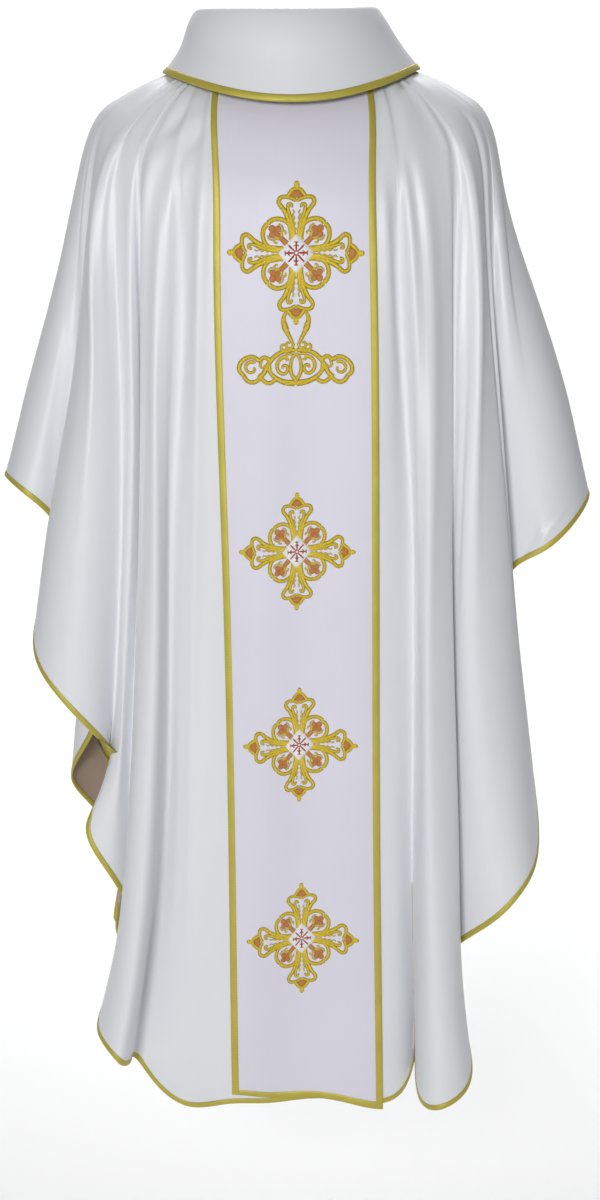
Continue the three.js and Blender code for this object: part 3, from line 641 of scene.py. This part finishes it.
def band(share, station, out, in_from=0.0):
    """A point of the band. Share runs from its right edge to its left, in_from is in millimetres."""
    share, station = np.broadcast_arrays(np.asarray(share, float), np.asarray(station, float))
    edges = []
    for edge, inward in ((BAND_RIGHT, 1), (BAND_LEFT, -1)):
        wide = np.linalg.norm(on_cloth(edge + inward * 0.2, station) - on_cloth(edge, station), axis=-1)
        edges.append(edge + inward * 0.2 * in_from / wide)
    fold = edges[0] + (edges[1] - edges[0]) * share
    point = on_cloth(fold, station, out)
    hang = FOOT_RIGHT + (FOOT_LEFT - FOOT_RIGHT) * (fold - BAND_RIGHT) / (BAND_LEFT - BAND_RIGHT)
    point[..., 2] += hang * np.clip((station - ANKLE) / (HEM - ANKLE), 0, 1) ** 2
    return point


orphrey_satin = satin("orphrey_satin", rgb(233, 230, 240), rgb(223, 220, 232), 0.42)
shares, down_band = np.linspace(0, 1, 72)[:, None], np.linspace(0, HEM, 230)[None]
orphrey = sew("orphrey_band", band(shares, down_band, ORPHREY_REST + ORPHREY_CLOTH),
              band(shares, down_band, ORPHREY_REST), [orphrey_satin])
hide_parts("orphrey")

# Braids. Flat gold ribbons, 9 mm wide, stitched along both edges of the orphrey and across its
# foot. They are a little thicker in the middle, and the foot one lies between the others.
OVER_BAND = ORPHREY_REST + ORPHREY_CLOTH + 0.3
crown = np.array([-1, -0.92, -0.6, -0.2, 0.2, 0.6, 0.92, 1])
swell = BRAID_THICK * (0.45 + 0.6 * (1 - crown ** 4))
for side, edge in (("right", 0.0), ("left", 1.0)):
    in_from = (crown + 1) / 2 * BRAID_WIDTH
    columns = [[band(edge, down_band[0], OVER_BAND + lift, into) for into, lift in zip(in_from, lifts)]
               for lifts in (swell, 0 * swell)]
    outer, inner = (np.stack(column if side == "right" else column[::-1]) for column in columns)
    braid = sew(f"orphrey_{side}_ribbon", outer, inner, [gold])
    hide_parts(f"orphrey_braid_{side}")
foot_rows = HEM - (1 - crown) / 2 * (HEM - above_hem(np.array([0.0]), BRAID_WIDTH)[1])
foot_shares = np.linspace(0, 1, 60)[:, None]
braid = sew("orphrey_foot_ribbon", band(foot_shares, foot_rows, OVER_BAND + swell, BRAID_WIDTH + 0.3),
            band(foot_shares, foot_rows, OVER_BAND, BRAID_WIDTH + 0.3), [gold])
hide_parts("orphrey_braid_foot")

# ---------------------------------------------------------------------------------------------
# Embroidery. Four crosses in satin stitch down the orphrey, the top one larger and on a scrolled
# stand. Bright gold thread worked over padding makes the raised lines, with amber and white
# fillings and a red star. It is stitched through the orphrey only.
# The crosses: name, how far across and how high the middle lies, and size.
CROSSES = [
    ("top", 6, -219, 0.95),
    ("second", 8, -590, 0.82),
    ("third", 12, -841, 0.82),
    ("foot", 15, -1101, 0.82),
]


def arc(x, z, radius, start, end, end_radius=None):
    """Points of an arc or a spiral round a place. Degrees count from +X towards +Z."""
    turn = np.radians(np.linspace(start, end, 9))
    reach = np.linspace(radius, radius if end_radius is None else end_radius, 9)
    return [(x + r * math.cos(t), z + r * math.sin(t)) for r, t in zip(reach, turn)]


# Lines of stitching: thread, width at the start and at the end, and the places they run through.
# These are for one half. An arm points up, and a corner lies along the diagonal turned upright.
ARM = [
    ("gold", 5.6, 3.8, (5, 15), (7.6, 32), (11.8, 46), (18, 56.5), (22.2, 63.5), (20.3, 68), (13.6, 69.6),
     (6.5, 68), (0, 64.5)),
    ("gold", 4.4, 3.2, (2.6, 18), (5, 36), (8.2, 47), (11, 56), (10, 60.8), (6.6, 60.4), (6.4, 56.6)),
    ("gold", 1.9, 1.7, *[(1.9 + 0.9 * (-1) ** i + 0.3 * i, 27 + 3.4 * i) for i in range(9)]),
    ("gold", 4.2, 4.2, (11.5, 69), (8, 75), (3, 79.6), (0, 80.6)),
    ("gold", 3.0, 2.0, (0.6, 26), (5.2, 21.4), (9.6, 17)),
]
CORNER = [
    ("gold", 5.2, 4.2, *arc(0, 36, 15.5, 90, -70, 21.5)),
    ("gold", 2.6, 2.0, *arc(7.0, 29, 3.8, 210, -110, 1.6)),
    ("gold", 2.0, 1.8, (2.8, 15), (2.8, 31), *arc(5.6, 37.6, 5.8, -100, 50)),
    ("amber", 3.4, 4.6, (0.9, 39), (0.9, 30), (1.2, 12)),
]
STAR = [
    ("red", 1.9, 1.8, (0, 3), (0, 15)),
    ("red", 1.5, 1.3, (0, 11.4), (3.6, 8.0)),
    ("red", 1.5, 1.4, (0, 14.6), (3.0, 14.2)),
]
STAND = [
    ("gold", 3.4, 7.4, (12.4, -74), (16, -81), (16, -90), (12.6, -99)),
    ("gold", 7.0, 3.2, (16, -88), (13.2, -98), (8, -108), (3.6, -117.5)),
    ("gold", 3.4, 2.6, (3.4, -114), (5.4, -121), (10.6, -121.5), (13.2, -117.5), (11.4, -114), (8.4, -116)),
    ("gold", 3.2, 2.6, *arc(16.5, -120, 4.2, -100, 150, 3)),
    ("gold", 5.0, 5.6, (0, -124.5), (12, -124.5), (24, -128.5), (33, -136), (39, -145), (44, -154),
     (51, -160)),
    ("gold", 7.4, 3.6, (0, -167), (12, -166), (24, -161.5), (33, -154), (39, -145)),
    ("gold", 3.6, 4.6, (0, -128), (5.4, -136), (7.2, -146), (5.4, -156), (0, -163)),
    ("gold", 4.6, 3.2, (11, -132), (19.5, -134), (25, -141), (23.5, -150.5), (16.5, -154.5), (11.2, -150),
     (12.4, -144.4), (17, -144), (17.6, -148)),
    ("gold", 3.2, 2.4, (4.5, -130.5), (10, -128.6), (14, -132), (12.4, -136.6), (9.2, -135)),
    ("gold", 4.8, 4.6, (33, -138), (38, -134), (44, -133), (49, -136.5), (54, -133.5), (62, -133), (69, -137),
     (74, -145), (73.6, -152), (69, -157), (65.5, -162.5), (58.5, -165.5), (52, -163), (47, -160.5),
     (41, -164.5), (34, -165.5), (27, -161)),
    ("gold", 4.0, 2.6, *arc(59, -147.5, 9.4, 125, -215, 3)),
    ("gold", 3.4, 2.4, *arc(44, -143, 5, 80, -200, 1.8)),
    ("gold", 4.0, 2.4, (36, -141), (34, -150), (30, -157)),
]

# Filled shapes: thread, middle, and the reach of the edge to the right, up and down.
CAP = [("amber", 0, 71, 7.6, 6.8, 2.5), ("gold", 0, 84.5, 3.6, 4.6, 4.6)]
TREFOIL = [("amber", x, z, reach, reach, reach)
           for x, z, reach in ((0, 43.5, 4.6), (5.2, 38, 4.4), (-5.2, 38, 4.4))]

# The star's ground is a diamond laid over the ends of the arms. The cross is a little taller
# than it is wide.
DIAMOND = {"half_width": 23.5, "half_height": 25, "raised": 1.05}
TALL = 1.03
STAND_LIFT = 0.1  # how far the stand is worked over the foot of its cross
STITCH_STEP = 1.2
PADDING = 1.22  # how much wider the padding under a line of stitching makes it
DOME = np.array([0.05, 0.6, 0.85, 0.6, 0.05])


def strands(stroke):
    """The rows of one line of stitching: x, z, height, share across and distance along."""
    _, first_width, last_width, *places = stroke
    path = np.array([(x, 0, z) for x, z in places], float)
    length = np.linalg.norm(np.diff(path, axis=0), axis=1).sum()
    at = np.linspace(0, len(path) - 1, max(4, int(length / STITCH_STEP)))
    middle = spline(path)(at) if len(path) > 2 else path[0] + at[:, None] * (path[1] - path[0])
    run = np.gradient(middle, axis=0)
    run /= np.linalg.norm(run, axis=1, keepdims=True)
    ends = np.minimum(1, 0.35 + np.minimum(at - at[0], at[-1] - at) * 4)
    half = np.linspace(first_width, last_width, len(at)) / 2 * PADDING * ends
    over = np.linspace(-1, 1, len(DOME))
    x = middle[:, :1] + run[:, 2:] * over * half[:, None]
    z = middle[:, 2:] - run[:, :1] * over * half[:, None]
    far = np.linspace(0, length, len(at))[:, None] + 0 * over
    return np.stack([x, z, DOME + 0 * x, (over + 1) / 2 + 0 * x, far], -1)


def filling(_, x, z, right, up, down):
    """The rows of a filled shape, from its middle to its edge, worked like lines of stitching."""
    turn = np.linspace(0, 2 * math.pi, 25)
    reach = np.stack([right * np.cos(turn), np.where(np.sin(turn) > 0, up, down) * np.sin(turn)], -1)
    steps = np.array([0.0, 0.5, 0.85, 1.0])
    places = (x, z) + steps[None, :, None] * reach[:, None]
    height = np.broadcast_to([0.9, 0.85, 0.65, 0.05], places.shape[:2])
    share = np.broadcast_to(0.5 + 0.42 * steps ** 3, places.shape[:2])
    return np.concatenate([places, height[..., None], share[..., None], places[..., 1:]], -1)


def diamond():
    """The white ground of the star: four points with straight sides and a soft rim."""
    turn = np.linspace(0, 2 * math.pi, 65)
    reach = 1 / (np.abs(np.cos(turn)) + np.abs(np.sin(turn)))
    corner = np.stack([DIAMOND["half_width"] * np.cos(turn), DIAMOND["half_height"] * np.sin(turn)], -1)
    steps = np.array([0.0, 0.5, 0.985, 1.0])
    places = steps[None, :, None] * (reach[:, None] * corner)[:, None]
    height = np.broadcast_to(DIAMOND["raised"] * np.array([1, 1, 1, 0.05]), places.shape[:2])
    share = np.full(places.shape[:2], 0.5)
    return np.concatenate([places, height[..., None], share[..., None], places[..., 1:]], -1)


def turned(rows, degrees, mirrored=False, lift=0.0):
    """Rows of stitching mirrored, turned round the middle and raised."""
    rows = rows.copy()
    if mirrored:
        rows[..., 0] *= -1
        rows = rows[:, ::-1]
    cos, sin = math.cos(math.radians(degrees)), math.sin(math.radians(degrees))
    x, z = rows[..., 0].copy(), rows[..., 1].copy()
    rows[..., 0], rows[..., 1] = x * cos - z * sin, x * sin + z * cos
    rows[..., 2] += lift
    return rows


def cross_stitching(with_stand):
    """All the stitching of one cross, as (thread, rows)."""
    work = [("white", diamond())]
    raised = DIAMOND["raised"]
    lines = ((ARM, 0, 0), (CORNER, 45, 0), (STAR, 0, raised), (STAR[:1], 45, raised))
    for degrees in (0, 90, 180, 270):
        for strokes, aslant, lift in lines:
            for stroke in strokes:
                for mirrored in (False, True):
                    work.append((stroke[0], turned(strands(stroke), degrees + aslant, mirrored, lift)))
        for fillings, aslant in ((CAP, 0), (TREFOIL, 45)):
            work += [(shape[0], turned(filling(*shape), degrees + aslant)) for shape in fillings]
    eye = ("red", 1.5, 1.5, *arc(0, 0, 2.6, 0, 360))
    work.append(("red", turned(strands(eye), 0, lift=raised)))
    for _, rows in work:
        rows[..., 1] *= TALL
    if with_stand:
        for stroke in STAND:
            for mirrored in (False, True):
                work.append((stroke[0], turned(strands(stroke), 0, mirrored, lift=STAND_LIFT)))
    return work


down_middle = band(0.5, stations, 0)


def on_orphrey(x, z, out):
    """A point on the orphrey by how far across and how high it is, moved out from it."""
    station = np.interp(-z, -down_middle[:, 2], stations)
    right, left = band(0.0, station, 0), band(1.0, station, 0)
    share = (x - right[..., 0]) / (left[..., 0] - right[..., 0])
    return band(share, station, ORPHREY_REST + ORPHREY_CLOTH + out)


def stitch(name, sheets, material):
    """One mesh from the rows of many lines of stitching."""
    points, faces, cut, count = [], [], [], 0
    for place, rows in sheets:
        columns, size = rows.shape[:2]
        ids = np.arange(columns * size).reshape(columns, size) + count
        a, b, c, d = ids[:-1, :-1], ids[:-1, 1:], ids[1:, 1:], ids[1:, :-1]
        faces.append(np.stack([d, c, b, a], -1).reshape(-1, 4))
        points.append(place.reshape(-1, 3))
        cut.append(rows[..., 3:].reshape(-1, 2) * (1, 0.1))
        count += columns * size
    mesh = bpy.data.meshes.new(name)
    mesh.from_pydata(np.concatenate(points) / 1000, [], np.concatenate(faces).tolist())
    mesh.shade_smooth()
    corners = np.zeros(len(mesh.loops), int)
    mesh.loops.foreach_get("vertex_index", corners)
    mesh.uv_layers.new(name="stitch").uv.foreach_set("vector", np.concatenate(cut)[corners].ravel())
    mesh.materials.append(material)
    piece = bpy.data.objects.new(name, mesh)
    bpy.context.scene.collection.objects.link(piece)
    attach(piece, "root")
    return piece


def thread(name, crown_highlight, deep, metallic):
    """Satin stitch: threads laid side by side, bright on the crown and deep where they dive in: a painted
    highlight on the crown and painted shade at the edges, mottled at random.
    """
    material, wire = fabric(name)
    cut = wire.add("ShaderNodeUVMap", {"uv_map": "stitch"})
    over = wire.add("ShaderNodeSeparateXYZ", {}, {"Vector": cut})
    from_crown = (over * 2 - 1).math("ABSOLUTE", over * 2 - 1)
    threads = wire.add("ShaderNodeTexWave", {"bands_direction": "Y"},
                       {"Vector": cut, "Scale": 6.0, "Distortion": 0.5})
    clouds = wire.add("ShaderNodeTexNoise", {}, {"Vector": cut, "Scale": 3.0, "Detail": 3.0})
    # Painted shade: darker towards the edges of each raised line, where it turns away from the light, with
    # random mottling on top.
    depth = from_crown.math("POWER", from_crown, 2.0) * 0.8 + (clouds - 0.5) * 1.8 + 0.1
    close(wire, {
        "Base Color": depth.mix(crown_highlight, deep), "Metallic": metallic, "Roughness": 0.34 + 0.2 * clouds,
        "Normal": bump(threads, 0.4, 0.0003),
    })
    return material


# Each thread has a lit and a shaded copy of its colour: painted highlight on the crown, painted shade at the
# edges.
threads = {
    "gold": thread("gold_thread", rgb(232, 202, 40), rgb(98, 78, 2), 0.1),
    "amber": thread("amber_thread", rgb(200, 130, 58), rgb(150, 88, 30), 0.0),
    "red": thread("red_thread", rgb(214, 104, 74), rgb(182, 74, 50), 0.0),
    "white": thread("white_thread", rgb(250, 250, 252), rgb(240, 240, 246), 0.0),
}
for name, x, z, size in CROSSES:
    work = cross_stitching(with_stand=name == "top")
    for colour, material in threads.items():
        sheets = [(on_orphrey(x + size * rows[..., 0], z + size * rows[..., 1], rows[..., 2]), rows)
                  for used, rows in work if used == colour]
        stitch(f"{name}_cross_{colour}", sheets, material)

# ---------------------------------------------------------------------------------------------
# Roll collar. One strip of interlined satin sewn into the neck seam. It stands up inside, turns
# over a soft crown and falls on the shoulders, with a gold binding on its edge.
COLLAR = np.array([  # half width, front and back depth, left, right, front and back height, shift
    (94.7, 88.7, 81.7, 14, 14, -22, 8, 0),
    (101, 86, 82, 66, 60, 54, 66, -4),
    (106, 91, 87, 79, 72, 71, 82, -6),
    (114, 97, 93, 84, 80, 77, 88, -7),
    (120, 103, 98, 78, 75, 70, 81, -6),
    (139, 118, 111, 43, 37, 22, 44, -2),
    (165, 133, 124, 8, 3, -36, 0, 0),
])
COLLAR_CLOTH = 2.2
COLLAR_EDGE = len(COLLAR) - 1
COLLAR_BINDING_WIDTH = 9
angles = np.linspace(0, 2 * math.pi, 180, endpoint=False)
collar_lines = [spline(oval(COLLAR.T[:, :, None], angles[None])[:, i]) for i in range(len(angles))]


def collar_points(station, out=0):
    """The collar's right side at a station for each of its lines, moved out from it."""
    points = []
    for angle, line, s in zip(angles, collar_lines, np.broadcast_to(station, angles.shape)):
        along = line(min(s + 0.02, COLLAR_EDGE)) - line(max(s - 0.02, 0))
        normal = np.cross(along, (math.cos(angle), math.sin(angle), 0))
        points.append(line(s) + normal / np.linalg.norm(normal) * out)
    return np.array(points)


def collar_in(distance):
    """The station that lies a distance in from the collar's edge, for each line."""
    ends = [line(COLLAR_EDGE) - line(COLLAR_EDGE - 1 / 3) for line in collar_lines]
    return COLLAR_EDGE - distance / 3 / np.linalg.norm(ends, axis=-1)


rows = [*np.linspace(0, 4, 22), *np.linspace(4, COLLAR_EDGE - 0.3, 16)[1:]]
rows = [np.full(len(angles), row) for row in rows] + [collar_in(12), collar_in(COLLAR_BINDING_WIDTH - 2)]
collar = sew("collar_satin", np.stack([collar_points(row) for row in rows], 1),
             np.stack([collar_points(row, -COLLAR_CLOTH) for row in rows], 1), [white_satin], ring=True)
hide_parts("collar")

sections = []
for distance, proud in BINDING:
    width = distance * COLLAR_BINDING_WIDTH / HEM_BINDING_WIDTH
    out = proud if proud > -0.5 else proud - COLLAR_CLOTH + CLOTH
    ring = collar_points(collar_in(max(width, 0)), out)
    if distance < 0:
        inward = collar_points(collar_in(1.0)) - collar_points(collar_in(0.0))
        ring += distance * inward / np.linalg.norm(inward, axis=-1, keepdims=True)
    sections.append(ring)
collar_binding = tube("collar_ribbon", np.stack(sections, 1), [gold], ring=True)
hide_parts("collar_binding")

# ---------------------------------------------------------------------------------------------
# The room: a plain pale floor that curves up far behind, soft daylight lamps and the camera. The
# wall stands far enough off for the garment to be seen from every side.
floor_material, wire = fabric("pale_floor")
clouds = wire.add("ShaderNodeTexNoise", {}, {"Scale": 3.0, "Detail": 4.0})
close(wire, {"Base Color": clouds.mix(rgb(240, 240, 240), rgb(246, 246, 246)), "Roughness": 0.7})
sweep = [(-12.0, 0.0), (7.6, 0.0), (8.4, 0.15), (8.9, 0.6), (9.1, 1.3), (9.15, 2.2), (9.15, 6.0)]
curve = spline(np.array([(0, y, z) for y, z in sweep]))(np.linspace(0, len(sweep) - 1, 60))
points = np.concatenate([curve + [x, 0, -1.5] for x in (-12, 12)])
faces = [(i, i + 60, i + 61, i + 1) for i in range(59)]
mesh = bpy.data.meshes.new("pale_floor")
mesh.from_pydata(points, [], faces)
mesh.shade_smooth()
mesh.materials.append(floor_material)
floor = bpy.data.objects.new("pale_floor", mesh)
bpy.context.scene.collection.objects.link(floor)


def lamp(name, place, target, size, power):
    """A soft square lamp that faces a point."""
    light = bpy.data.lights.new(name, "AREA")
    light.size, light.energy = size, power
    lamp_object = bpy.data.objects.new(name, light)
    lamp_object.location = place
    lamp_object.rotation_euler = (Vector(target) - Vector(place)).to_track_quat("-Z", "Y").to_euler()
    bpy.context.scene.collection.objects.link(lamp_object)


lamp("front_key", (-0.8, -4.5, 0.6), (0, 0, -0.6), 1.0, 116)
lamp("left_fill", (3.2, -2.0, 0.6), (0, 0, -0.7), 2.0, 3)
lamp("behind", (0.4, 2.4, 1.8), (0, 0, -0.6), 2.0, 12)
lamp("floor_light", (0.0, 2.2, 2.6), (0, 3.9, -1.5), 2.6, 180)
for side in (-1.6, 1.6):
    lamp("wall_light", (side, 6.6, 3.0), (side, 8.9, -0.6), 3.0, 95)

scene = bpy.context.scene
world = bpy.data.worlds.new("room")
world.use_nodes = True
world.node_tree.nodes["Background"].inputs["Color"].default_value = (0.93, 0.95, 1, 1)
world.node_tree.nodes["Background"].inputs["Strength"].default_value = 0.15
scene.world = world
scene.view_settings.view_transform = "Standard"

CAMERA_TILT = math.radians(11.3)
lens = bpy.data.cameras.new("camera")
lens.sensor_width, lens.lens = 36, 67.1
camera = bpy.data.objects.new("camera", lens)
camera.location = (0.011, -2.94, -0.098)
camera.rotation_euler = (math.pi / 2 - CAMERA_TILT, 0, 0)
bpy.context.scene.collection.objects.link(camera)
scene.camera = camera
